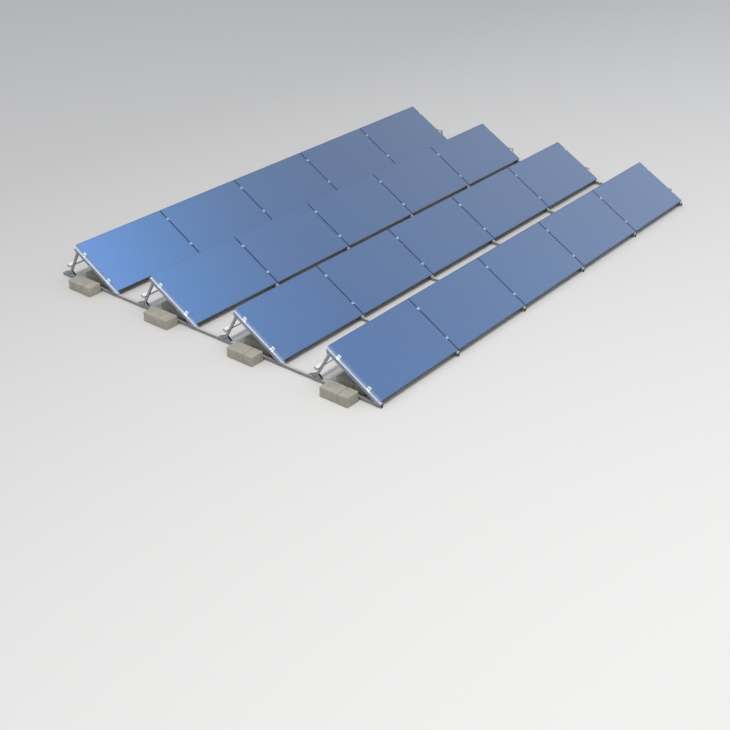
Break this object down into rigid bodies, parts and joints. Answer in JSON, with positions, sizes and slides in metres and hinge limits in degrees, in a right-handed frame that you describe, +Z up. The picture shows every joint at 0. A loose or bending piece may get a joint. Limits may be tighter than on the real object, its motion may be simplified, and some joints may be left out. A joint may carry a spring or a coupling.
{
  "type": "solar ballast mount",
  "caption": "Ballasted flat-roof solar mount: tilted rows of framed modules on triangular aluminium supports, tied by long base rails and weighted with concrete blocks in pans.",
  "frame": {"origin": "middle of the footprint, on the surface that the ballast pans lie on", "axes": "+X along the rows of modules, +Y from the low front edges to the rear, +Z up; the modules face -Y"},
  "size_m": [9.01, 6.2036, 0.605],
  "materials": {
    "module": "glossy front glass over blue cells, in an anodised aluminium frame",
    "aluminium": "mill finish",
    "concrete": "matte cast concrete"
  },
  "bodies": {
    "root": {"support_line_1": "aluminium", "support_line_2": "aluminium", "support_line_3": "aluminium", "support_line_4": "aluminium", "support_line_5": "aluminium", "support_line_6": "aluminium", "cross_rail_row_1": "aluminium", "module_row_1_column_1": "module", "module_row_1_column_2": "module", "module_row_1_column_3": "module", "module_row_1_column_4": "module", "module_row_1_column_5": "module", "ballast_row_1_line_1": "concrete", "ballast_row_1_line_2": "concrete", "ballast_row_1_line_3": "concrete", "ballast_row_1_line_4": "concrete", "ballast_row_1_line_5": "concrete", "ballast_row_1_line_6": "concrete", "cross_rail_row_2": "aluminium", "module_row_2_column_1": "module", "module_row_2_column_2": "module", "module_row_2_column_3": "module", "module_row_2_column_4": "module", "module_row_2_column_5": "module", "ballast_row_2_line_1": "concrete", "ballast_row_2_line_2": "concrete", "ballast_row_2_line_3": "concrete", "ballast_row_2_line_4": "concrete", "ballast_row_2_line_5": "concrete", "ballast_row_2_line_6": "concrete", "cross_rail_row_3": "aluminium", "module_row_3_column_1": "module", "module_row_3_column_2": "module", "module_row_3_column_3": "module", "module_row_3_column_4": "module", "module_row_3_column_5": "module", "ballast_row_3_line_1": "concrete", "ballast_row_3_line_2": "concrete", "ballast_row_3_line_3": "concrete", "ballast_row_3_line_4": "concrete", "ballast_row_3_line_5": "concrete", "ballast_row_3_line_6": "concrete", "cross_rail_row_4": "aluminium", "module_row_4_column_1": "module", "module_row_4_column_2": "module", "module_row_4_column_3": "module", "module_row_4_column_4": "module", "module_row_4_column_5": "module", "ballast_row_4_line_1": "concrete", "ballast_row_4_line_2": "concrete", "ballast_row_4_line_3": "concrete", "ballast_row_4_line_4": "concrete", "ballast_row_4_line_5": "concrete", "ballast_row_4_line_6": "concrete"}
  },
  "joints": []
}
